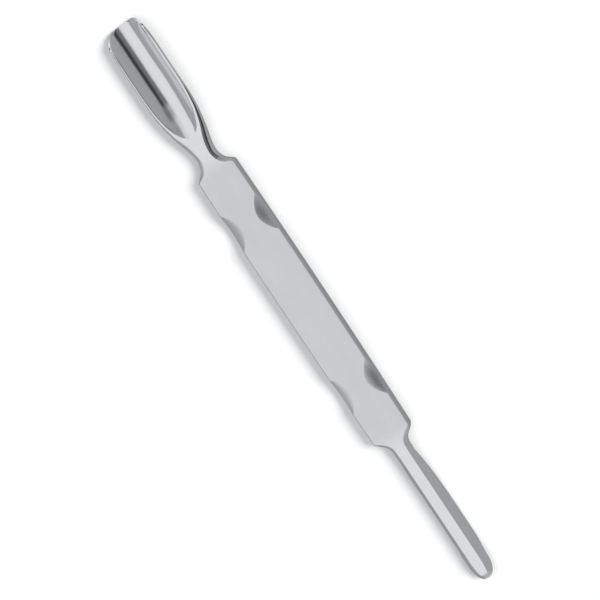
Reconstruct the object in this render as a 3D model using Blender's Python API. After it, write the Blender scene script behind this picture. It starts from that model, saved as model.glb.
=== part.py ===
"""A double-ended cuticle pusher in stainless steel, as three pieces.

The handle is a flat bar with four thumb scallops along its front edges and a short neck at each end. A scoop
pusher and a slim, hollow-backed pusher each stand on a round tang, which is brazed into a bore in a neck.

The tool lies on the flat back of its handle. +X runs to the scoop's tip, Y runs across the tool, and +Z comes
out of the handle's front face. Lengths are in millimetres until a mesh is made. A place is a distance along
the tool from the scoop's tip. A section is two half lines, upper and lower, each from the middle outwards.
"""

import math

import bmesh
import bpy

MM = 0.001

# The whole tool
TOOL_LENGTH = 130.0
THICKNESS = 2.6

# The brazed seams and the tangs that cross them
SCOOP_SEAM = 30.5
SLIM_SEAM = 99.6
SEAM_GAP = 0.1
TANG_RADIUS = 0.8
TANG_LENGTH = 8.5
BORE_RADIUS = 0.9
BORE_DEPTH = 9.0
TANG_SIDES = 24

# Handle: it is widest at BARREL_PLACE and narrows with the square of the distance from there
HALF_WIDTH = 4.54
BARREL_PLACE = 60.0
BARREL_FALL = 0.00023
EDGE_EASING = 0.22
EDGE_BULGE = 0.05
SCOOP_SHOULDER = 34.8
SLIM_SHOULDER = 95.8

# Scallops: place, half the length, run across the face and depth down the side
SCALLOPS = ((46.3, 4.2, 2.42, 1.05), (84.75, 4.0, 2.5, 0.8))
SCALLOP_POINTEDNESS = 0.92

# Scoop: the bowl is a round groove of one radius that runs out on the neck's flat land
BOWL_RADIUS = 5.05
BOWL_END = 26.15
BOWL_END_BLUNTNESS = 0.26
SCOOP_TIP_LENGTH = 5.5
SCOOP_TIP_SQUARENESS = 4.0
SCOOP_TIP_MARGIN = 0.14
SCOOP_EDGE_THINNING = 0.6
SCOOP_EDGE = 0.15
THINNING_LENGTH = 4.0

# Slim pusher
SLIM_BLEND_LENGTH = 4.0
SLIM_TIP_LENGTH = 4.1
SLIM_TIP_SQUARENESS = 2.3
SLIM_SIDE_BULGE = 0.06

# Steps along the parts of a section's lines
LINE_STEPS = 10
UNDER_STEPS = 6
SIDE_STEPS = 1
EDGE_STEPS = 2
HOLLOW_STEPS = 5
SLIM_SIDE_STEPS = 5

# How much steeper than its facet a side starts as it rounds down to the widest point
ROUNDING_SLOPE = 1.4

STEEL = (0.62, 0.62, 0.63, 1.0)


def smooth_line(*points):
    """A function through (place, value) points: a cubic that never overshoots them, level past its ends."""
    places = [place for place, _ in points]
    values = [value for _, value in points]
    spans = [b - a for a, b in zip(places, places[1:])]
    rises = [(b - a) / span for a, b, span in zip(values, values[1:], spans)]
    slopes = [0.0]
    for before, after in zip(rises, rises[1:]):
        turning = before * after <= 0
        slopes.append(0.0 if turning else 2 * before * after / (before + after))
    slopes.append(0.0)

    def value_at(place):
        if place <= places[0]:
            return values[0]
        if place >= places[-1]:
            return values[-1]
        i = max(k for k in range(len(spans)) if places[k] <= place)
        t = (place - places[i]) / spans[i]
        return (
            values[i] * (1 + 2 * t) * (1 - t) ** 2
            + values[i + 1] * t * t * (3 - 2 * t)
            + slopes[i] * spans[i] * t * (1 - t) ** 2
            - slopes[i + 1] * spans[i] * t * t * (1 - t)
        )

    return value_at


# Half the width of each working end and its neck, and of the flat land on top of them
scoop_half_width = smooth_line(
    (0.0, 4.30), (6.0, 4.58), (14.0, 4.58), (17.3, 4.55), (19.3, 4.42), (21.3, 4.26), (23.2, 3.94), (24.8, 3.62),
    (26.1, 3.30), (27.5, 2.87), (29.1, 2.45), (30.7, 2.27), (32.2, 2.60), (32.8, 3.00),
    (33.4, 3.65), (33.8, 4.15), (34.1, 4.36), (SCOOP_SHOULDER, 4.394),
)
scoop_land = smooth_line(
    (0.0, 4.14), (6.0, 4.36), (14.0, 4.36), (17.3, 4.28), (19.3, 4.08), (21.3, 3.79), (23.2, 3.28), (24.8, 2.79),
    (26.1, 2.26), (27.5, 1.70), (29.1, 1.27), (30.7, 1.12), (32.2, 1.41), (32.8, 1.75),
    (33.4, 2.22), (33.8, 2.75), (34.1, 3.35), (34.4, 4.00), (SCOOP_SHOULDER, 4.174),
)
slim_half_width = smooth_line(
    (SLIM_SHOULDER, 4.245), (96.1, 4.18), (96.7, 3.88), (97.3, 3.18), (97.9, 2.55), (98.5, 2.20),
    (99.3, 2.02), (100.6, 2.06), (102.6, 2.20), (105.5, 2.38), (109.4, 2.47), (115.3, 2.51),
    (121.2, 2.50), (124.1, 2.46), (127.0, 2.41), (TOOL_LENGTH, 2.38),
)
slim_land = smooth_line(
    (SLIM_SHOULDER, 4.025), (96.2, 3.80), (96.7, 2.95), (97.3, 2.20), (97.9, 1.66), (98.5, 1.34),
    (99.3, 1.19), (100.6, 1.13), (103.0, 1.11), (126.0, 1.11), (127.6, 1.00), (128.7, 0.78),
    (TOOL_LENGTH, 0.42),
)
lip_width = smooth_line((0.0, 0.14), (6.0, 0.36))
# The facet beside the land: its share of the way to the widest point, its slope and its bulge
facet_share = smooth_line(
    (14.0, 0.70), (17.3, 0.70), (19.3, 0.70), (23.2, 0.75), (26.1, 0.72), (29.1, 0.65),
    (30.7, 0.58), (32.2, 0.70), (33.4, 0.78), (34.4, 1.0), (SLIM_SHOULDER, 1.0), (97.3, 0.85),
)
facet_slope = smooth_line(
    (32.2, 0.33), (33.4, 0.42), (34.4, 1.0), (SLIM_SHOULDER, 1.0), (97.0, 0.75), (98.5, 0.90),
)
facet_bulge = smooth_line((32.8, 0.02), (34.4, EDGE_BULGE))
# The height of the widest point, the share of the half width that curves up to it, and the back's height
widest_height = smooth_line(
    (14.0, 2.35), (17.3, 2.05), (19.3, 1.90), (23.2, 1.80), (26.1, 1.60), (29.1, 1.40), (32.2, 1.35),
    (33.4, 1.20), (34.1, 0.60), (34.5, 0.30), (SLIM_SHOULDER, 0.30), (96.7, 1.20), (97.3, 1.55),
    (SLIM_SEAM, 1.50),
)
belly_share = smooth_line(
    (21.0, 0.97), (27.0, 0.75), (30.5, 0.60), (33.0, 0.25), (34.3, 0.08),
    (SLIM_SHOULDER, 0.08), (97.5, 0.40), (SLIM_SEAM, 0.60),
)
back_height = smooth_line((20.0, 0.06), (30.0, 0.04), (33.0, 0.0), (97.0, 0.0), (SLIM_SEAM, 0.04))
# Slim pusher: the heights of its top, its rims and the middle of its underside, and the width of its rims
slim_top = smooth_line((128.3, THICKNESS), (128.9, 2.42), (TOOL_LENGTH, 1.70))
slim_rim_height = smooth_line(
    (103.6, 1.00), (105.5, 0.78), (109.4, 0.38), (115.3, 0.24), (121.0, 0.32), (124.1, 0.52),
    (126.1, 0.78), (127.4, 0.92), (TOOL_LENGTH, 1.10),
)
slim_under = smooth_line(
    (103.6, 0.10), (107.0, 0.22), (110.0, 0.80), (114.0, 1.45), (118.0, 1.72), (125.0, 1.72),
    (TOOL_LENGTH, 1.38),
)
slim_rim_width = smooth_line((105.0, 0.05), (112.0, 0.34), (126.0, 0.34), (TOOL_LENGTH, 0.10))


def bulging_line(start, end, bulge, count):
    """Points from start to just before end, on a line that bulges to its right by a share of its length."""
    (y0, z0), (y1, z1) = start, end
    points = []
    for i in range(count):
        t = i / count
        out = 4 * t * (1 - t) * bulge
        points.append((y0 + (y1 - y0) * t + (z1 - z0) * out, z0 + (z1 - z0) * t - (y1 - y0) * out))
    return points


def quarter_round(start, end, count):
    """Points after start, on a quarter ellipse that leaves start level and meets end upright."""
    (y0, z0), (y1, z1) = start, end
    turns = [(i + 1) / count * math.pi / 2 for i in range(count)]
    return [(y0 + (y1 - y0) * math.sin(a), z1 + (z0 - z1) * math.cos(a)) for a in turns]


def upright_curve(start, end, slope, count):
    """Points between start and end, on a curve that leaves start upright and meets end at a slope."""
    (y0, z0), (y1, z1) = start, end
    corner_z = z1 - slope * (y0 - y1)
    points = []
    for i in range(count):
        t = (i + 1) / (count + 1)
        a, b, c = (1 - t) ** 2, 2 * t * (1 - t), t * t
        points.append((y0 * (a + b) + y1 * c, z0 * a + corner_z * b + z1 * c))
    return points


def widths_at(place):
    """Half the width at the widest point, and of the land on top."""
    if place < SCOOP_SHOULDER:
        return scoop_half_width(place), scoop_land(place)
    if place > SLIM_SHOULDER:
        return slim_half_width(place), slim_land(place)
    half_width = HALF_WIDTH - BARREL_FALL * (place - BARREL_PLACE) ** 2
    return half_width, half_width - EDGE_EASING


def scallop_at(place):
    """How deep the nearest scallop is here, as a share, and its run across the face and down the side."""
    for centre, half_length, run, depth in SCALLOPS:
        off_centre = abs(place - centre) / half_length
        if off_centre < 1:
            return math.cos(off_centre * math.pi / 2) ** SCALLOP_POINTEDNESS, run, depth
    return 0.0, 0.0, 0.0


def bowl_half_width(place):
    """Half the width of the bowl at the land: it leaves a lip inside the edge, and ends in a parabola."""
    if place >= BOWL_END:
        return 0.0
    beside_lip = scoop_land(place) - lip_width(place)
    run_out = math.sqrt((BOWL_END - place) / BOWL_END_BLUNTNESS)
    return (beside_lip**-8 + run_out**-8) ** (-1 / 8)


def bowl_height(y, bowl):
    """The height of the bowl's surface at y, or of the lip past it."""
    y = min(y, bowl)
    return THICKNESS + math.sqrt(BOWL_RADIUS**2 - bowl**2) - math.sqrt(BOWL_RADIUS**2 - y * y)


def bowl_line(bowl, land):
    """The top of a section: across the bowl and then its lip, or flat where there is no bowl."""
    if bowl == 0:
        return [(land * i / LINE_STEPS, THICKNESS) for i in range(LINE_STEPS + 1)]
    centre_z = THICKNESS + math.sqrt(BOWL_RADIUS**2 - bowl**2)
    across = [bowl * i / (LINE_STEPS - 1) for i in range(LINE_STEPS)]
    line = [(y, centre_z - math.sqrt(BOWL_RADIUS**2 - y * y)) for y in across]
    return line + [(land, THICKNESS)]


def bar_section(place):
    """A section of the scoop, the handle or a neck."""
    half_width, land = widths_at(place)
    share, scallop_run, scallop_depth = scallop_at(place)
    run = (half_width - land) * facet_share(place)
    slope = facet_slope(place)
    drop = run * slope + (scallop_depth - run * slope) * share
    run += (scallop_run - run) * share
    land = min(land, half_width - run)
    widest = (half_width, widest_height(place))
    foot = (land + run, THICKNESS - drop)
    back_z = back_height(place)
    lower = [(0.0, back_z), (half_width * (1 - belly_share(place)), back_z)]
    lower += quarter_round(lower[-1], widest, UNDER_STEPS)
    lower += upright_curve(widest, foot, slope * ROUNDING_SLOPE, SIDE_STEPS)
    lower += bulging_line(foot, (land, THICKNESS), facet_bulge(place), EDGE_STEPS)
    return bowl_line(bowl_half_width(place), land), lower


def slim_section(place):
    """A section of the slim pusher, which takes over from the neck's own section."""
    half_width, land = widths_at(place)
    top = slim_top(place)
    rim_z = slim_rim_height(place)
    arch = slim_under(place) - rim_z
    inner = half_width - slim_rim_width(place)
    upper = [(land * i / LINE_STEPS, top) for i in range(LINE_STEPS + 1)]
    lower = []
    for i in range(HOLLOW_STEPS + 1):
        angle = i / HOLLOW_STEPS * math.pi / 2
        lower.append((inner * math.sin(angle), rim_z + arch * math.cos(angle)))
    lower += bulging_line((half_width, rim_z), (land, top), SLIM_SIDE_BULGE, SLIM_SIDE_STEPS)
    share = min((place - SLIM_SEAM) / SLIM_BLEND_LENGTH, 1.0)
    share = share * share * (3 - 2 * share)
    if share == 1:
        return upper, lower
    neck = bar_section(place)
    return tuple(
        [(a[0] + (b[0] - a[0]) * share, a[1] + (b[1] - a[1]) * share) for a, b in zip(old, new)]
        for old, new in zip(neck, (upper, lower))
    )


def tip_setback(y, half_width, length, squareness):
    """How far a rounded end lies back at y from its foremost point."""
    across = min(abs(y) / half_width, 1.0)
    return length * (1 - math.sqrt(1 - across**squareness))


def scoop_setback(y, z, bowl):
    """How far the scoop's tip lies back at a point: as far as the bowl's own surface does at that height."""
    below_centre = THICKNESS + math.sqrt(BOWL_RADIUS**2 - bowl**2) - z
    across = math.sqrt(max(BOWL_RADIUS**2 - below_centre**2, 0.0))
    return tip_setback(min(across, abs(y)), bowl + SCOOP_TIP_MARGIN, SCOOP_TIP_LENGTH, SCOOP_TIP_SQUARENESS)


def ring(place, section, setback):
    """Points in metres round a section, from the middle of its top down its +Y side and up its -Y side."""
    upper, lower = section
    half = upper + lower[::-1]
    around = half + [(-y, z) for y, z in half[-2:0:-1]]
    return [((TOOL_LENGTH / 2 - place - setback(y, z)) * MM, y * MM, z * MM) for y, z in around]


def handle_ring(place):
    return ring(place, bar_section(place), lambda y, z: 0.0)


def scoop_ring(place):
    """A ring of the scoop, bent round its tip, where the wall thins to an edge."""
    upper, lower = bar_section(place)
    bend = max(1 - place / (2 * SCOOP_TIP_LENGTH), 0.0)
    thinning = SCOOP_EDGE_THINNING * max(1 - place / THINNING_LENGTH, 0.0) ** 2
    bowl = bowl_half_width(place)
    lower = [(y, z + thinning * max(bowl_height(y, bowl) - SCOOP_EDGE - z, 0.0)) for y, z in lower]
    return ring(
        place,
        (upper, lower),
        lambda y, z: bend * scoop_setback(y, z, bowl),
    )


def slim_ring(place):
    """A ring of the slim pusher, bent round its tip."""
    half_width = slim_half_width(place)
    bend = max(1 - (TOOL_LENGTH - place) / (2 * SLIM_TIP_LENGTH), 0.0)
    return ring(
        place,
        slim_section(place),
        lambda y, z: -bend * tip_setback(y, half_width, SLIM_TIP_LENGTH, SLIM_TIP_SQUARENESS),
    )


def close_end(mesh, points):
    """Closes a ring with strips from its upper line to its lower line, on each side of the middle."""
    count = len(points)
    for i in range(LINE_STEPS):
        j = i + 1
        bottom = count // 2
        mesh.faces.new((points[i], points[j], points[bottom - j], points[bottom - i]))
        mesh.faces.new((points[-i], points[-j], points[bottom + j], points[bottom + i]))


def loft(name, rings):
    """A closed body through rings, each with as many points."""
    mesh = bmesh.new()
    rows = [[mesh.verts.new(point) for point in points] for points in rings]
    for row, after in zip(rows, rows[1:]):
        for i in range(len(row)):
            mesh.faces.new((row[i - 1], row[i], after[i], after[i - 1]))
    close_end(mesh, rows[0])
    close_end(mesh, rows[-1])
    bmesh.ops.recalc_face_normals(mesh, faces=mesh.faces)
    return add_object(name, mesh)


def rod(name, start, end, radius):
    """A helper: a round bar along the tool, between two places, at half the tool's thickness."""
    mesh = bmesh.new()
    bmesh.ops.create_cone(
        mesh,
        cap_ends=True,
        segments=TANG_SIDES,
        radius1=radius * MM,
        radius2=radius * MM,
        depth=abs(end - start) * MM,
    )
    bar = add_object(name, mesh)
    bar.location = ((TOOL_LENGTH / 2 - (start + end) / 2) * MM, 0.0, THICKNESS / 2 * MM)
    bar.rotation_euler = (0.0, math.pi / 2, 0.0)
    bar.hide_render = True
    bar.display_type = "WIRE"
    return bar


def add_object(name, mesh):
    data = bpy.data.meshes.new(name)
    mesh.to_mesh(data)
    mesh.free()
    made = bpy.data.objects.new(name, data)
    bpy.context.scene.collection.objects.link(made)
    return made


def combine(body, operation, helper):
    """A Boolean of a helper with a body; both keep their own meshes."""
    modifier = body.modifiers.new(helper.name, "BOOLEAN")
    modifier.operation = operation
    modifier.object = helper
    modifier.solver = "EXACT"


def finish(body, material):
    body.data.materials.append(material)
    body.data.shade_smooth()
    body.data.set_sharp_from_angle(angle=math.radians(35))


def steel(name, roughness):
    material = bpy.data.materials.new(name)
    material.use_nodes = True
    shader = material.node_tree.nodes["Principled BSDF"]
    shader.inputs["Base Color"].default_value = STEEL
    shader.inputs["Metallic"].default_value = 1.0
    shader.inputs["Roughness"].default_value = roughness
    return material


def evenly(start, end, count):
    """Places from start to end in equal steps, with both ends."""
    return [start + (end - start) * i / (count - 1) for i in range(count)]


def build_handle(material):
    places = evenly(SCOOP_SEAM + SEAM_GAP / 2, SCOOP_SHOULDER, 10)
    for centre, half_length, _, _ in SCALLOPS:
        places += evenly(centre - half_length, centre + half_length, 13)
        places.append(BARREL_PLACE + (centre - BARREL_PLACE) / 3)
    places += evenly(SLIM_SHOULDER, SLIM_SEAM - SEAM_GAP / 2, 10)
    handle = loft("handle", [handle_ring(place) for place in sorted(places)])
    for name, seam, way in (("scoop_bore", SCOOP_SEAM, 1), ("slim_bore", SLIM_SEAM, -1)):
        combine(handle, "DIFFERENCE", rod(name, seam - way, seam + way * BORE_DEPTH, BORE_RADIUS))
    finish(handle, material)


def build_scoop(material):
    places = evenly(0.0, THINNING_LENGTH, 7) + evenly(5.0, 2 * SCOOP_TIP_LENGTH, 6) + evenly(14.0, 23.0, 8)
    places += [BOWL_END - BOWL_END_BLUNTNESS * y * y for y in (2.8, 2.4, 2.0, 1.6, 1.2, 0.8, 0.4)]
    places += evenly(BOWL_END, SCOOP_SEAM - SEAM_GAP / 2, 7)
    scoop = loft("scoop_pusher", [scoop_ring(place) for place in places])
    tang = rod("scoop_tang", SCOOP_SEAM - 2, SCOOP_SEAM + TANG_LENGTH, TANG_RADIUS)
    combine(scoop, "UNION", tang)
    finish(scoop, material)


def build_slim(material):
    places = evenly(SLIM_SEAM + SEAM_GAP / 2, SLIM_SEAM + SLIM_BLEND_LENGTH, 7)
    places += evenly(105.5, 124.5, 9) + evenly(125.5, TOOL_LENGTH, 11)
    slim = loft("slim_pusher", [slim_ring(place) for place in places])
    tang = rod("slim_tang", SLIM_SEAM + 2, SLIM_SEAM - TANG_LENGTH, TANG_RADIUS)
    combine(slim, "UNION", tang)
    finish(slim, material)


def clear_scene():
    for old in list(bpy.data.objects):
        bpy.data.objects.remove(old, do_unlink=True)


def main():
    clear_scene()
    polished = steel("polished_steel", 0.12)
    build_handle(steel("satin_steel", 0.35))
    build_scoop(polished)
    build_slim(polished)


main()
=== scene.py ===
"""The looks of a double-ended steel cuticle pusher: fine meshes, steel finishes, studio light and camera.

The meshes follow the same sections as the CAD solids, with more steps, eased corners, a crown on the scoop's
lips and a steeper facet outside them. Lengths are in millimetres until a mesh is made. A place is a distance
along the tool from the scoop's tip. A section is two half lines, upper and lower, each from the middle
outwards.
"""

import math

import bmesh
import bpy
from mathutils import Matrix, Vector


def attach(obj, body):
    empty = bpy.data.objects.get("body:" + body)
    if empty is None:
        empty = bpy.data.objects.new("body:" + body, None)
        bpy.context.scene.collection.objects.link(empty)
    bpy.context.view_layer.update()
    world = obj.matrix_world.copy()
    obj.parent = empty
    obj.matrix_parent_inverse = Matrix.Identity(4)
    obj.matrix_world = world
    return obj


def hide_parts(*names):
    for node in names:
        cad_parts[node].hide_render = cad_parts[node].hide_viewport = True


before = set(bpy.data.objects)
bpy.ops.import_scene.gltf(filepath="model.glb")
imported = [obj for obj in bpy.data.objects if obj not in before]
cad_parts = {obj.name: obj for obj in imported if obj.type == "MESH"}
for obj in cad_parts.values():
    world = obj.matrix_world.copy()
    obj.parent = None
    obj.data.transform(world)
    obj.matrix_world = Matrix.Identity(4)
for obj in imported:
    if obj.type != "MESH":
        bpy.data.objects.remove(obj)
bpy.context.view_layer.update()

MM = 0.001

# The whole tool
TOOL_LENGTH = 130.0
THICKNESS = 2.6
SCOOP_SEAM = 30.5
SLIM_SEAM = 99.6

# Handle: it is widest at BARREL_PLACE and narrows with the square of the distance from there
HALF_WIDTH = 4.54
BARREL_PLACE = 60.0
BARREL_FALL = 0.00023
EDGE_EASING = 0.22
EDGE_BULGE = 0.05
SCOOP_SHOULDER = 34.8
SLIM_SHOULDER = 95.8
NECK_LENGTH = 4.2

# Scallops: place, half the length, run across the face and depth down the side
SCALLOPS = ((46.3, 4.2, 2.42, 1.05), (84.75, 4.0, 2.5, 0.8))
SCALLOP_POINTEDNESS = 0.92

# Scoop: the bowl is a round groove of one radius that runs out on the neck's flat land
BOWL_RADIUS = 5.05
BOWL_END = 26.15
BOWL_END_BLUNTNESS = 0.26
BOWL_BLEND = 8
LIP_CROWN = 0.055
CROWN_MOST = 1.6
CROWN_FADE = 0.6
LIP_STEPS = 6
SCOOP_TIP_LENGTH = 5.5
SCOOP_TIP_SQUARENESS = 4.0
SCOOP_TIP_MARGIN = 0.14
SCOOP_EDGE_THINNING = 0.6
SCOOP_EDGE = 0.15
THINNING_LENGTH = 4.0

# Slim pusher
SLIM_BLEND_LENGTH = 4.0
SLIM_TIP_LENGTH = 4.1
SLIM_TIP_SQUARENESS = 2.3
SLIM_SIDE_BULGE = 0.06

# Steps along the parts of a section's lines
LINE_STEPS = 30
UNDER_STEPS = 8
SIDE_STEPS = 7
EDGE_STEPS = 14
HOLLOW_STEPS = 14
SLIM_SIDE_STEPS = 16
BOWL_EDGE = LINE_STEPS - LIP_STEPS

# How much steeper than its facet a side starts as it rounds down to the widest point
ROUNDING_SLOPE = 1.4

# Rounding that polishing leaves on sharp corners, and the points that draw it
CORNER_REACH = 0.07
CORNER_STEPS = 4
CORNER_SHARE = 0.45
SHARPEST_TURN = 0.8

# Rounding of the two ends: the last whole ring's distance from each end, and how far its rings are drawn in
END_REACH = 0.06
END_STEPS = 5
END_MARGIN = 0.1
MOST_DRAWN_IN = 0.9

# Rings: the least gap between two, how near a scallop's ends one stands, and where the slim tip's begin
LEAST_GAP = 1e-4
SCALLOP_END_SHARE = 0.995
SLIM_FINE_PLACE = 121.0

# Degrees between two faces past which their edge is shaded as sharp
SHARP_ANGLE = 32


def smooth_line(*points):
    """A function through (place, value) points: a cubic that never overshoots them, level past its ends."""
    places = [place for place, _ in points]
    values = [value for _, value in points]
    spans = [b - a for a, b in zip(places, places[1:])]
    rises = [(b - a) / span for a, b, span in zip(values, values[1:], spans)]
    slopes = [0.0]
    for before, after in zip(rises, rises[1:]):
        turning = before * after <= 0
        slopes.append(0.0 if turning else 2 * before * after / (before + after))
    slopes.append(0.0)

    def value_at(place):
        if place <= places[0]:
            return values[0]
        if place >= places[-1]:
            return values[-1]
        i = max(k for k in range(len(spans)) if places[k] <= place)
        t = (place - places[i]) / spans[i]
        return (
            values[i] * (1 + 2 * t) * (1 - t) ** 2
            + values[i + 1] * t * t * (3 - 2 * t)
            + slopes[i] * spans[i] * t * (1 - t) ** 2
            - slopes[i + 1] * spans[i] * t * t * (1 - t)
        )

    return value_at


# Half the width of each working end and its neck, and of the flat land on top of them
scoop_half_width = smooth_line(
    (0.0, 4.30), (6.0, 4.58), (14.0, 4.58), (17.3, 4.55), (19.3, 4.42), (21.3, 4.26),
    (23.2, 3.94), (24.8, 3.62), (26.1, 3.30), (27.5, 2.87), (29.1, 2.45), (30.7, 2.27),
    (32.2, 2.60), (32.8, 3.00), (33.4, 3.65), (33.8, 4.15), (34.1, 4.36), (SCOOP_SHOULDER, 4.394),
)
scoop_land = smooth_line(
    (0.0, 4.14), (6.0, 4.36), (14.0, 4.36), (17.3, 4.28), (19.3, 4.08), (21.3, 3.79),
    (23.2, 3.28), (24.8, 2.79), (26.1, 2.26), (27.5, 1.70), (29.1, 1.27), (30.7, 1.12),
    (32.2, 1.41), (32.8, 1.75), (33.4, 2.22), (33.8, 2.75), (34.1, 3.35), (34.4, 4.00),
    (SCOOP_SHOULDER, 4.174),
)
slim_half_width = smooth_line(
    (SLIM_SHOULDER, 4.245), (96.1, 4.18), (96.7, 3.88), (97.3, 3.18), (97.9, 2.55), (98.5, 2.20),
    (99.3, 2.02), (100.6, 2.06), (102.6, 2.20), (105.5, 2.38), (109.4, 2.47), (115.3, 2.51),
    (121.2, 2.50), (124.1, 2.46), (127.0, 2.41), (TOOL_LENGTH, 2.38),
)
slim_land = smooth_line(
    (SLIM_SHOULDER, 4.025), (96.2, 3.80), (96.7, 2.95), (97.3, 2.20), (97.9, 1.66), (98.5, 1.34),
    (99.3, 1.19), (100.6, 1.13), (103.0, 1.11), (126.0, 1.11), (127.6, 1.00), (128.7, 0.78),
    (TOOL_LENGTH, 0.42),
)
lip_width = smooth_line((0.0, 0.14), (6.0, 0.36))
# The facet beside the land: its share of the way to the widest point, its slope and its bulge
facet_share = smooth_line(
    (19.3, 0.70), (23.2, 0.75), (26.1, 0.72), (29.1, 0.65),
    (30.7, 0.58), (32.2, 0.70), (33.4, 0.78), (34.4, 1.0), (SLIM_SHOULDER, 1.0), (97.3, 0.85),
)
facet_slope = smooth_line(
    (14.0, 0.75), (19.0, 0.36), (32.2, 0.33), (33.4, 0.42), (34.4, 1.0),
    (SLIM_SHOULDER, 1.0), (97.0, 0.75), (98.5, 0.90),
)
facet_bulge = smooth_line((32.8, 0.02), (34.4, EDGE_BULGE))
# The height of the widest point, the share of the half width that curves up to it, and the back's height
widest_height = smooth_line(
    (14.0, 2.35), (17.3, 2.05), (19.3, 1.90), (23.2, 1.80), (26.1, 1.60), (29.1, 1.40), (32.2, 1.35),
    (33.4, 1.20), (34.1, 0.60), (34.5, 0.30), (SLIM_SHOULDER, 0.30), (96.7, 1.20), (97.3, 1.55),
    (SLIM_SEAM, 1.50),
)
belly_share = smooth_line(
    (21.0, 0.97), (27.0, 0.75), (30.5, 0.60), (33.0, 0.25), (34.3, 0.08),
    (SLIM_SHOULDER, 0.08), (97.5, 0.40), (SLIM_SEAM, 0.60),
)
back_height = smooth_line((20.0, 0.06), (30.0, 0.04), (33.0, 0.0), (97.0, 0.0), (SLIM_SEAM, 0.04))
# Slim pusher: the heights of its top, its rims and the middle of its underside, and the width of its rims
slim_top = smooth_line((128.3, THICKNESS), (128.9, 2.42), (TOOL_LENGTH, 1.70))
slim_rim_height = smooth_line(
    (103.6, 1.00), (105.5, 0.78), (109.4, 0.38), (115.3, 0.24), (121.0, 0.32), (124.1, 0.52),
    (126.1, 0.78), (127.4, 0.92), (TOOL_LENGTH, 1.10),
)
slim_under = smooth_line(
    (103.6, 0.10), (107.0, 0.22), (110.0, 0.80), (114.0, 1.45), (118.0, 1.72), (125.0, 1.72),
    (TOOL_LENGTH, 1.38),
)
slim_rim_width = smooth_line((105.0, 0.05), (112.0, 0.34), (126.0, 0.34), (TOOL_LENGTH, 0.10))


def bulging_line(start, end, bulge, count):
    """Points from start to just before end, on a line that bulges to its right by a share of its length."""
    (y0, z0), (y1, z1) = start, end
    points = []
    for i in range(count):
        t = i / count
        out = 4 * t * (1 - t) * bulge
        points.append((y0 + (y1 - y0) * t + (z1 - z0) * out, z0 + (z1 - z0) * t - (y1 - y0) * out))
    return points


def quarter_round(start, end, count):
    """Points after start, on a quarter ellipse that leaves start level and meets end upright."""
    (y0, z0), (y1, z1) = start, end
    turns = [(i + 1) / count * math.pi / 2 for i in range(count)]
    return [(y0 + (y1 - y0) * math.sin(a), z1 + (z0 - z1) * math.cos(a)) for a in turns]


def upright_curve(start, end, slope, count):
    """Points between start and end, on a curve that leaves start upright and meets end at a slope."""
    (y0, z0), (y1, z1) = start, end
    corner_z = z1 - slope * (y0 - y1)
    points = []
    for i in range(count):
        t = (i + 1) / (count + 1)
        a, b, c = (1 - t) ** 2, 2 * t * (1 - t), t * t
        points.append((y0 * (a + b) + y1 * c, z0 * a + corner_z * b + z1 * c))
    return points


def widths_at(place):
    """Half the width at the widest point, and of the land on top."""
    if place < SCOOP_SHOULDER:
        return scoop_half_width(place), scoop_land(place)
    if place > SLIM_SHOULDER:
        return slim_half_width(place), slim_land(place)
    half_width = HALF_WIDTH - BARREL_FALL * (place - BARREL_PLACE) ** 2
    return half_width, half_width - EDGE_EASING


def scallop_at(place):
    """How deep the nearest scallop is here, as a share, and its run across the face and down the side."""
    for centre, half_length, run, depth in SCALLOPS:
        off_centre = abs(place - centre) / half_length
        if off_centre < 1:
            return math.cos(off_centre * math.pi / 2) ** SCALLOP_POINTEDNESS, run, depth
    return 0.0, 0.0, 0.0


def bowl_half_width(place):
    """Half the width of the bowl at the land: it leaves a lip inside the edge, and ends in a parabola."""
    if place >= BOWL_END:
        return 0.0
    beside_lip = scoop_land(place) - lip_width(place)
    run_out = math.sqrt((BOWL_END - place) / BOWL_END_BLUNTNESS)
    return (beside_lip**-BOWL_BLEND + run_out**-BOWL_BLEND) ** (-1 / BOWL_BLEND)


def bowl_height(y, bowl):
    """The height of the bowl's surface at y, or of the lip past it."""
    y = min(y, bowl)
    return THICKNESS + math.sqrt(BOWL_RADIUS**2 - bowl**2) - math.sqrt(BOWL_RADIUS**2 - y * y)


def bowl_line(bowl, land, crowning):
    """The top of a section: across the bowl and then its crowned lip, or flat where there is no bowl."""
    if bowl == 0:
        return [(land * i / LINE_STEPS, THICKNESS) for i in range(LINE_STEPS + 1)]
    centre_z = THICKNESS + math.sqrt(BOWL_RADIUS**2 - bowl**2)
    across = [bowl * i / BOWL_EDGE for i in range(BOWL_EDGE)]
    line = [(y, centre_z - math.sqrt(BOWL_RADIUS**2 - y * y)) for y in across]
    crown = crowning * LIP_CROWN * max(CROWN_MOST - (land - bowl) / CROWN_FADE, 0.0)
    for i in range(LIP_STEPS + 1):
        t = i / LIP_STEPS
        line.append((bowl + (land - bowl) * t, THICKNESS - crown * (1 - t) ** 2))
    return line


def bar_section(place):
    """A section of the scoop, the handle or a neck."""
    half_width, land = widths_at(place)
    share, scallop_run, scallop_depth = scallop_at(place)
    run = (half_width - land) * facet_share(place)
    slope = facet_slope(place)
    drop = run * slope + (scallop_depth - run * slope) * share
    run += (scallop_run - run) * share
    land = min(land, half_width - run)
    widest = (half_width, widest_height(place))
    foot = (land + run, THICKNESS - drop)
    back_z = back_height(place)
    lower = [(0.0, back_z), (half_width * (1 - belly_share(place)), back_z)]
    lower += quarter_round(lower[-1], widest, UNDER_STEPS)
    lower += upright_curve(widest, foot, slope * ROUNDING_SLOPE, SIDE_STEPS)
    upper = bowl_line(bowl_half_width(place), land, min(place / THINNING_LENGTH, 1.0))
    lower += bulging_line(foot, upper[-1], facet_bulge(place), EDGE_STEPS)
    return upper, lower


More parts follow.
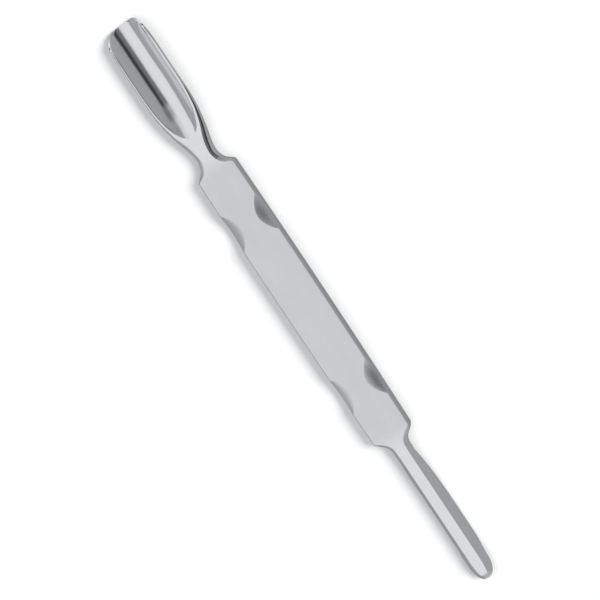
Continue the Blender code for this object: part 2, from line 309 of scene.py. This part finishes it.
def slim_section(place):
    """A section of the slim pusher, which takes over from the neck's own section."""
    half_width, land = widths_at(place)
    top = slim_top(place)
    rim_z = slim_rim_height(place)
    arch = slim_under(place) - rim_z
    inner = half_width - slim_rim_width(place)
    upper = [(land * i / LINE_STEPS, top) for i in range(LINE_STEPS + 1)]
    lower = []
    for i in range(HOLLOW_STEPS + 1):
        angle = i / HOLLOW_STEPS * math.pi / 2
        lower.append((inner * math.sin(angle), rim_z + arch * math.cos(angle)))
    lower += bulging_line((half_width, rim_z), (land, top), SLIM_SIDE_BULGE, SLIM_SIDE_STEPS)
    share = min((place - SLIM_SEAM) / SLIM_BLEND_LENGTH, 1.0)
    share = share * share * (3 - 2 * share)
    if share == 1:
        return upper, lower
    neck = bar_section(place)
    return tuple(
        [(a[0] + (b[0] - a[0]) * share, a[1] + (b[1] - a[1]) * share) for a, b in zip(old, new)]
        for old, new in zip(neck, (upper, lower))
    )


def tip_setback(y, half_width, length, squareness):
    """How far a rounded end lies back at y from its foremost point."""
    across = min(abs(y) / half_width, 1.0)
    return length * (1 - math.sqrt(1 - across**squareness))


def eased(points, corners):
    """The points with a short arc for each listed corner, and how sharp the corner is at each point, which
    sets the edge wear and the painted edge highlight.
    """
    made = []
    wear_and_highlight = []
    for i, (y, z) in enumerate(points):
        if i not in corners:
            made.append((y, z))
            wear_and_highlight.append(0.0)
            continue
        before, after = Vector(points[i - 1]), Vector(points[(i + 1) % len(points)])
        corner = Vector((y, z))
        back, ahead = before - corner, after - corner
        reach = min(CORNER_REACH, CORNER_SHARE * back.length, CORNER_SHARE * ahead.length)
        start, end = corner + back.normalized() * reach, corner + ahead.normalized() * reach
        turn = math.pi - back.angle(ahead, math.pi)
        for k in range(CORNER_STEPS + 1):
            t = k / CORNER_STEPS
            point = start * (1 - t) ** 2 + corner * 2 * t * (1 - t) + end * t * t
            made.append((point.x, point.y))
            wear_and_highlight.append(min(turn / SHARPEST_TURN, 1.0))
    return made, wear_and_highlight


def polish_at(place):
    """How polished the steel is: fully on both ends, not on the handle, and in between along its necks."""
    past_seam = min(place - SCOOP_SEAM, SLIM_SEAM - place)
    return 1.0 - min(max(past_seam / NECK_LENGTH, 0.0), 1.0)


def scoop_setback(y, z, bowl):
    """How far the scoop's tip lies back at a point: as far as the bowl's own surface does at that height."""
    below_centre = THICKNESS + math.sqrt(BOWL_RADIUS**2 - bowl**2) - z
    across = math.sqrt(max(BOWL_RADIUS**2 - below_centre**2, 0.0))
    return tip_setback(min(across, abs(y)), bowl + SCOOP_TIP_MARGIN, SCOOP_TIP_LENGTH, SCOOP_TIP_SQUARENESS)


def ring(place, section, setback, corners, inset=0.0):
    """Points in metres round a section, from the middle of its top down its +Y side and up its -Y side.

    An inset draws both lines towards each other, which rounds the end that the ring closes.
    """
    upper, lower = section
    if inset:
        middles = [((a[0] + b[0]) / 2, (a[1] + b[1]) / 2) for a, b in zip(upper, lower)]
        upper = [drawn_in(point, middle, inset) for point, middle in zip(upper, middles)]
        lower = [drawn_in(point, middle, inset) for point, middle in zip(lower, middles)]
    half = upper + lower[::-1]
    around = half + [(-y, z) for y, z in half[-2:0:-1]]
    count = len(around)
    both_sides = set(corners) | {count - i for i in corners if i}
    around, wear_and_highlight = eased(around, both_sides)
    made = [((TOOL_LENGTH / 2 - place - setback(y, z)) * MM, y * MM, z * MM) for y, z in around]
    return made, wear_and_highlight, polish_at(place)


def drawn_in(point, middle, inset):
    away = Vector(middle) - Vector(point)
    if away.length == 0:
        return point
    moved = Vector(point) + away * min(inset / away.length, MOST_DRAWN_IN)
    return (moved.x, moved.y)


UPPER_END = LINE_STEPS
LOWER_FIRST = 2 * LINE_STEPS + 1
SCALLOP_FOOT = LOWER_FIRST - (2 + UNDER_STEPS + SIDE_STEPS)
RIM_OUTER = LOWER_FIRST - (HOLLOW_STEPS + 1)
RIM_INNER = LOWER_FIRST - HOLLOW_STEPS


def handle_ring(place):
    return ring(place, bar_section(place), lambda y, z: 0.0, (UPPER_END, SCALLOP_FOOT))


def scoop_ring(place, inset=0.0):
    """A ring of the scoop, bent round its tip, where the wall thins to an edge."""
    upper, lower = bar_section(place)
    bend = max(1 - place / (2 * SCOOP_TIP_LENGTH), 0.0)
    thinning = SCOOP_EDGE_THINNING * max(1 - place / THINNING_LENGTH, 0.0) ** 2
    bowl = bowl_half_width(place)
    lower = [(y, z + thinning * max(bowl_height(y, bowl) - SCOOP_EDGE - z, 0.0)) for y, z in lower]
    return ring(
        place,
        (upper, lower),
        lambda y, z: bend * scoop_setback(y, z, bowl),
        (BOWL_EDGE, UPPER_END, SCALLOP_FOOT),
        inset,
    )


def slim_ring(place, inset=0.0):
    """A ring of the slim pusher, bent round its tip."""
    half_width = slim_half_width(place)
    bend = max(1 - (TOOL_LENGTH - place) / (2 * SLIM_TIP_LENGTH), 0.0)
    return ring(
        place,
        slim_section(place),
        lambda y, z: -bend * tip_setback(y, half_width, SLIM_TIP_LENGTH, SLIM_TIP_SQUARENESS),
        (UPPER_END, RIM_OUTER, RIM_INNER),
        inset,
    )


def close_end(mesh, points):
    """Closes a ring with strips from its upper line to its lower line, on each side of the middle."""
    count = len(points)
    half = count // 2
    for i in range(half // 2):
        j = i + 1
        if half - i - j <= 0:
            break
        if half - j == j:
            mesh.faces.new((points[i], points[j], points[half - i]))
            mesh.faces.new((points[-i], points[-j], points[half + i]))
        else:
            mesh.faces.new((points[i], points[j], points[half - j], points[half - i]))
            mesh.faces.new((points[-i], points[-j], points[half + j], points[half + i]))


def loft(name, rings):
    """A closed body through rings of (points, edge wear and painted edge highlight, polish), each with as
    many points.
    """
    mesh = bmesh.new()
    wear_and_highlight_layer = mesh.verts.layers.float.new("edge_wear_and_highlight")
    polish_layer = mesh.verts.layers.float.new("polish")
    rows = []
    for points, wear_and_highlight, polish in rings:
        row = [mesh.verts.new(point) for point in points]
        for vertex, amount in zip(row, wear_and_highlight):
            vertex[wear_and_highlight_layer] = amount
            vertex[polish_layer] = polish
        rows.append(row)
    for row, after in zip(rows, rows[1:]):
        for i in range(len(row)):
            mesh.faces.new((row[i - 1], row[i], after[i], after[i - 1]))
    close_end(mesh, rows[0])
    close_end(mesh, rows[-1])
    bmesh.ops.recalc_face_normals(mesh, faces=mesh.faces)
    data = bpy.data.meshes.new(name)
    mesh.to_mesh(data)
    mesh.free()
    data.shade_smooth()
    data.set_sharp_from_angle(angle=math.radians(SHARP_ANGLE))
    made = bpy.data.objects.new(name, data)
    bpy.context.scene.collection.objects.link(made)
    return made


def evenly(start, end, count):
    """Places from start to end in equal steps, with both ends."""
    return [start + (end - start) * i / (count - 1) for i in range(count)]


def spread(*places):
    """The places in order, without any that nearly repeats the one before."""
    kept = []
    for place in sorted(places):
        if not kept or place - kept[-1] > LEAST_GAP:
            kept.append(place)
    return kept


def handle_places():
    places = evenly(SCOOP_SEAM, SCOOP_SHOULDER, 40) + evenly(SCOOP_SHOULDER, SLIM_SHOULDER, 60)
    for centre, half_length, _, _ in SCALLOPS:
        places += evenly(centre - half_length, centre + half_length, 61)
        near_end = half_length * SCALLOP_END_SHARE
        places += [centre - near_end, centre + near_end]
    return spread(*places, *evenly(SLIM_SHOULDER, SLIM_SEAM, 40))


def scoop_places():
    places = evenly(END_MARGIN, 2 * SCOOP_TIP_LENGTH, 60) + evenly(2 * SCOOP_TIP_LENGTH, BOWL_END, 60)
    places += [BOWL_END - BOWL_END_BLUNTNESS * (3.2 * i / 40) ** 2 for i in range(41)]
    return spread(*places, *evenly(BOWL_END, SCOOP_SEAM, 30))


def slim_places():
    places = evenly(SLIM_SEAM, SLIM_SEAM + SLIM_BLEND_LENGTH, 30)
    places += evenly(SLIM_SEAM + SLIM_BLEND_LENGTH, SLIM_FINE_PLACE, 50)
    return spread(*places, *evenly(SLIM_FINE_PLACE, TOOL_LENGTH - END_MARGIN, 90))


# The turn of each ring of a rounded end, which sets its place and how much it is drawn in
END_TURNS = [i / END_STEPS * math.pi / 2 for i in range(END_STEPS)]


def build_handle():
    return loft("handle_body", [handle_ring(place) for place in handle_places()])


def build_scoop():
    reach = END_REACH / 2
    rings = [scoop_ring(reach * (1 - math.cos(turn)), reach * (1 - math.sin(turn))) for turn in END_TURNS]
    return loft("scoop_body", rings + [scoop_ring(place) for place in scoop_places()])


def build_slim():
    rings = [
        slim_ring(TOOL_LENGTH - END_REACH * (1 - math.cos(turn)), END_REACH * (1 - math.sin(turn)))
        for turn in END_TURNS
    ]
    return loft("slim_body", [slim_ring(place) for place in slim_places()] + rings[::-1])


class Nodes:
    """Short calls for making and joining a tree's nodes."""

    def __init__(self, tree):
        self.tree = tree

    def put(self, node, name, value):
        """Links a socket to one of the node's inputs, or sets that input; the name may be an index."""
        if isinstance(value, bpy.types.NodeSocket):
            self.tree.links.new(value, node.inputs[name])
        else:
            node.inputs[name].default_value = value

    def math(self, operation, a, b=0.0):
        node = self.tree.nodes.new("ShaderNodeMath")
        node.operation = operation
        self.put(node, 0, a)
        self.put(node, 1, b)
        return node.outputs[0]

    def remap(self, value, from_low, from_high, to_low, to_high, smooth=False):
        node = self.tree.nodes.new("ShaderNodeMapRange")
        node.interpolation_type = "SMOOTHSTEP" if smooth else "LINEAR"
        self.put(node, "Value", value)
        self.put(node, "From Min", from_low)
        self.put(node, "From Max", from_high)
        self.put(node, "To Min", to_low)
        self.put(node, "To Max", to_high)
        return node.outputs["Result"]

    def mix(self, share, a, b):
        node = self.tree.nodes.new("ShaderNodeMix")
        node.data_type = "RGBA"
        for index, value in ((0, share), (6, a), (7, b)):
            self.put(node, index, value)
        return node.outputs[2]

    def noise(self, stretch, detail=2.0, roughness=0.5):
        """Noise whose features have these sizes along X, Y and Z, in millimetres."""
        coordinates = self.tree.nodes.new("ShaderNodeTexCoord")
        mapping = self.tree.nodes.new("ShaderNodeMapping")
        mapping.inputs["Scale"].default_value = [1 / (size * MM) for size in stretch]
        self.tree.links.new(coordinates.outputs["Object"], mapping.inputs["Vector"])
        node = self.tree.nodes.new("ShaderNodeTexNoise")
        node.inputs["Scale"].default_value = 1.0
        node.inputs["Detail"].default_value = detail
        node.inputs["Roughness"].default_value = roughness
        self.tree.links.new(mapping.outputs["Vector"], node.inputs["Vector"])
        return node.outputs["Fac"]

    def grey(self, value):
        """A value as a colour, for a mix of two values."""
        node = self.tree.nodes.new("ShaderNodeCombineColor")
        for socket in node.inputs:
            self.tree.links.new(value, socket)
        return node.outputs["Color"]

    def attribute(self, name):
        node = self.tree.nodes.new("ShaderNodeAttribute")
        node.attribute_name = name
        return node.outputs["Fac"]


# Sizes of the marks in the steel, along X, Y and Z
GROUND_LINES = (0.05, 1.2, 1.2)
HAIRLINES = (2.0, 0.06, 0.06)
PATCHES = (7.0, 3.0, 3.0)
RIPPLES = (6.0, 1.6, 1.6)

# The part of each noise's range that the marks use
ROUGH_SPAN = (0.3, 0.7)
TONE_SPAN = (0.25, 0.75)
PATCH_SPAN = (0.35, 0.65)

# Roughness at the least and the most of each mark
SATIN_ROUGHNESS = (0.28, 0.42)
SATIN_PATCHES = (-0.03, 0.03)
POLISHED_ROUGHNESS = (0.07, 0.13)
POLISHED_PATCHES = (-0.02, 0.02)
WORN_ROUGHNESS = (0.0, 0.05)

SATIN_TONES = ((0.66, 0.665, 0.68, 1.0), (0.72, 0.725, 0.74, 1.0))
POLISHED_TONES = ((0.71, 0.715, 0.73, 1.0), (0.76, 0.765, 0.78, 1.0))
PATCH_TONE = (0.60, 0.605, 0.62, 1.0)
PATCH_SHARE = 0.06
# Corners are painted lighter: partly edge wear, partly a painted highlight along the edges
WORN_HIGHLIGHT_TONE = (0.80, 0.805, 0.82, 1.0)
WORN_HIGHLIGHT_SHARE = 0.35

# Height of the satin's grain, then of the polish's hairlines and slow ripples as multiples of it
GRAIN_HEIGHT = 0.01
GRAIN_STRENGTH = 0.35
HAIRLINE_DEPTH = 0.2
RIPPLE_DEPTH = 9.0


def roughness(nodes, polish, wear_and_highlight, ground, hairlines, patches):
    satin = nodes.math(
        "ADD",
        nodes.remap(ground, *ROUGH_SPAN, *SATIN_ROUGHNESS),
        nodes.remap(patches, *ROUGH_SPAN, *SATIN_PATCHES),
    )
    polished = nodes.math(
        "ADD",
        nodes.remap(hairlines, *ROUGH_SPAN, *POLISHED_ROUGHNESS),
        nodes.remap(patches, *ROUGH_SPAN, *POLISHED_PATCHES),
    )
    level = nodes.mix(polish, nodes.grey(satin), nodes.grey(polished))
    return nodes.math("ADD", level, nodes.remap(wear_and_highlight, 0.0, 1.0, *WORN_ROUGHNESS))


def colour(nodes, polish, wear_and_highlight, ground, hairlines, patches):
    satin = nodes.mix(nodes.remap(ground, *TONE_SPAN, 0.0, 1.0), *SATIN_TONES)
    polished = nodes.mix(nodes.remap(hairlines, *TONE_SPAN, 0.0, 1.0), *POLISHED_TONES)
    tone = nodes.mix(polish, satin, polished)
    tone = nodes.mix(nodes.remap(patches, *PATCH_SPAN, PATCH_SHARE, 0.0), tone, PATCH_TONE)
    # Edge wear and painted highlight: corners are mixed towards a lighter tone by how sharp they are
    return nodes.mix(nodes.remap(wear_and_highlight, 0.0, 1.0, 0.0, WORN_HIGHLIGHT_SHARE), tone, WORN_HIGHLIGHT_TONE)


def relief(nodes, polish, ground, hairlines):
    ripples = nodes.noise(RIPPLES, 1.0)
    faint = nodes.math("MULTIPLY", hairlines, HAIRLINE_DEPTH)
    lines = nodes.mix(polish, nodes.grey(ground), nodes.grey(faint))
    waves = nodes.math("MULTIPLY", nodes.math("MULTIPLY", ripples, polish), RIPPLE_DEPTH)
    return nodes.math("ADD", lines, waves)


def steel(name):
    """Stainless steel, satin where it isn't polished: satin has lines ground across the tool."""
    material = bpy.data.materials.new(name)
    material.use_nodes = True
    tree = material.node_tree
    nodes = Nodes(tree)
    shader = tree.nodes["Principled BSDF"]
    shader.inputs["Metallic"].default_value = 1.0
    polish = nodes.attribute("polish")
    # Corner sharpness, which makes corners rougher and paints them lighter: edge wear and a painted
    # highlight
    wear_and_highlight = nodes.attribute("edge_wear_and_highlight")
    ground = nodes.noise(GROUND_LINES, 3.0, 0.6)
    hairlines = nodes.noise(HAIRLINES, 3.0, 0.6)
    patches = nodes.noise(PATCHES, 2.0)
    marks = (polish, wear_and_highlight, ground, hairlines, patches)
    tree.links.new(roughness(nodes, *marks), shader.inputs["Roughness"])
    tree.links.new(colour(nodes, *marks), shader.inputs["Base Color"])
    bump = tree.nodes.new("ShaderNodeBump")
    bump.inputs["Strength"].default_value = GRAIN_STRENGTH
    bump.inputs["Distance"].default_value = GRAIN_HEIGHT * MM
    tree.links.new(relief(nodes, polish, ground, hairlines), bump.inputs["Height"])
    tree.links.new(bump.outputs["Normal"], shader.inputs["Normal"])
    return material


def build_world():
    """A studio that surrounds the tool, as light by direction.

    Its bands run along the tool. An angle is measured about +X from straight up, towards -Y.
    """
    world = bpy.data.worlds.new("studio")
    bpy.context.scene.world = world
    world.use_nodes = True
    tree = world.node_tree
    nodes = Nodes(tree)
    background = tree.nodes["Background"]
    direction = tree.nodes.new("ShaderNodeTexCoord").outputs["Generated"]
    axes = tree.nodes.new("ShaderNodeSeparateXYZ")
    tree.links.new(direction, axes.inputs["Vector"])
    x, y, z = axes.outputs
    angle = nodes.math("ARCTAN2", nodes.math("MULTIPLY", y, -1.0), z)
    turn = nodes.remap(angle, -math.pi, math.pi, 0.0, 1.0)
    towards_tip = nodes.remap(x, *TOWARDS_TIP_FADE, 0.0, 1.0, smooth=True)
    away_from_tip = nodes.remap(x, *AWAY_FROM_TIP_FADE, 0.0, 1.0, smooth=True)
    near_ends = nodes.remap(nodes.math("ABSOLUTE", x), *END_FADE, 0.0, 1.0, smooth=True)
    seen = nodes.mix(towards_tip, ramp(tree, turn, BANDS), ramp(tree, turn, BANDS_TOWARDS_TIP))
    seen = nodes.mix(away_from_tip, seen, ramp(tree, turn, BANDS_AWAY_FROM_TIP))
    seen = nodes.mix(near_ends, seen, END_TONE)
    path = tree.nodes.new("ShaderNodeLightPath")
    shown = nodes.mix(path.outputs["Is Camera Ray"], seen, (1.0, 1.0, 1.0, 1.0))
    tree.links.new(shown, background.inputs["Color"])
    background.inputs["Strength"].default_value = 1.0


def grey(level, tint=(1.0, 1.0, 1.0)):
    return tuple(level * share for share in tint) + (1.0,)


COOL = (0.985, 0.995, 1.015)
# (angle in degrees, brightness) round the tool, on the +Y side and then on the -Y side
FAR_SIDE = ((-180, 0.34), (-120, 0.38), (-90, 0.46), (-64, 0.46), (-56, 0.40), (-50, 0.93), (-20, 0.97))
NEAR_SIDE = ((95, 0.46), (140, 0.42), (160, 0.34), (180, 0.28))
BANDS = (*FAR_SIDE, (-4, 0.88), (4, 0.22), (17, 0.20), (22, 0.05), (32, 0.06), (39, 0.43), *NEAR_SIDE)
BANDS_TOWARDS_TIP = (*FAR_SIDE, (-4, 0.88), (8, 0.78), (19, 0.40), (50, 0.42), *NEAR_SIDE)
BANDS_AWAY_FROM_TIP = (*FAR_SIDE, (-4, 0.95), (20, 0.85), (32, 0.70), (45, 0.50), *NEAR_SIDE)
END_TONE = grey(0.55, COOL)
# The X part of the direction where each change along the tool starts and ends
TOWARDS_TIP_FADE = (0.24, 0.55)
AWAY_FROM_TIP_FADE = (-0.34, -0.50)
END_FADE = (0.75, 0.95)

SUN_ENERGY = 2.85
SUN_ANGLE = 30
SUN_TOWARDS = (-0.20, -0.75, 0.60)


def ramp(tree, factor, stops):
    """A colour ramp round the tool, from stops in degrees."""
    node = tree.nodes.new("ShaderNodeValToRGB")
    elements = node.color_ramp.elements
    elements[0].position = (stops[0][0] + 180) / 360
    elements[0].color = grey(stops[0][1], COOL)
    elements[1].position = (stops[-1][0] + 180) / 360
    elements[1].color = grey(stops[-1][1], COOL)
    for degrees, level in stops[1:-1]:
        elements.new((degrees + 180) / 360).color = grey(level, COOL)
    tree.links.new(factor, node.inputs["Fac"])
    return node.outputs["Color"]


def build_sun():
    """A soft lamp on the -Y side, whose shadow falls past the +Y edge."""
    lamp = bpy.data.lights.new("softbox", "SUN")
    lamp.energy = SUN_ENERGY
    lamp.angle = math.radians(SUN_ANGLE)
    sun = bpy.data.objects.new("softbox", lamp)
    bpy.context.scene.collection.objects.link(sun)
    towards = Vector(SUN_TOWARDS)
    sun.rotation_mode = "QUATERNION"
    sun.rotation_quaternion = towards.to_track_quat("Z", "Y")
    sun.visible_glossy = False


# Floor: half its side in metres, and how far it lies under the tool in millimetres
FLOOR_REACH = 3.0
FLOOR_GAP = 0.02
FLOOR_TONE = (0.92, 0.92, 0.915, 1.0)
FLOOR_ROUGHNESS = 0.9
FLOOR_GLOSS = 0.1


def build_floor():
    mesh = bmesh.new()
    bmesh.ops.create_grid(mesh, x_segments=1, y_segments=1, size=FLOOR_REACH)
    data = bpy.data.meshes.new("floor")
    mesh.to_mesh(data)
    mesh.free()
    floor = bpy.data.objects.new("floor", data)
    floor.location.z = -FLOOR_GAP * MM
    bpy.context.scene.collection.objects.link(floor)
    floor.visible_glossy = False
    material = bpy.data.materials.new("floor")
    material.use_nodes = True
    shader = material.node_tree.nodes["Principled BSDF"]
    shader.inputs["Base Color"].default_value = FLOOR_TONE
    shader.inputs["Roughness"].default_value = FLOOR_ROUGHNESS
    shader.inputs["Specular IOR Level"].default_value = FLOOR_GLOSS
    data.materials.append(material)


# Camera: it looks down from the -Y side, with the scoop's tip at the frame's upper left
CAMERA_ELEVATION = 72.0
CAMERA_TARGET = (0.7, 0.61, 1.3)
CAMERA_ACROSS = 117.55
CAMERA_LENS = 100.0
CAMERA_SENSOR = 36.0
CAMERA_ROLL = (0.55505, 0.83181)


def build_camera():
    data = bpy.data.cameras.new("camera")
    data.sensor_width = CAMERA_SENSOR
    data.lens = CAMERA_LENS
    camera = bpy.data.objects.new("camera", data)
    bpy.context.scene.collection.objects.link(camera)
    tilt = math.radians(CAMERA_ELEVATION)
    back = Vector((0.0, -math.cos(tilt), math.sin(tilt)))
    along = Vector((1.0, 0.0, 0.0))
    over = Vector((0.0, math.sin(tilt), math.cos(tilt)))
    cos_roll, sin_roll = CAMERA_ROLL
    right = -cos_roll * along - sin_roll * over
    up = sin_roll * along - cos_roll * over
    turned = Matrix((right, up, back)).transposed()
    distance = CAMERA_ACROSS * CAMERA_LENS / CAMERA_SENSOR
    camera.location = (Vector(CAMERA_TARGET) + back * distance) * MM
    camera.rotation_mode = "QUATERNION"
    camera.rotation_quaternion = turned.to_quaternion()
    data.clip_start = 0.01
    data.clip_end = 20.0
    bpy.context.scene.camera = camera


def dress(body, node, material):
    body.data.materials.append(material)
    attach(body, "root")
    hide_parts(node)


def main():
    dress(build_handle(), "handle", steel("satin_steel"))
    polished = steel("polished_steel")
    dress(build_scoop(), "scoop_pusher", polished)
    dress(build_slim(), "slim_pusher", polished)
    build_floor()
    build_world()
    build_sun()
    build_camera()
    bpy.context.scene.view_settings.view_transform = "Standard"


main()
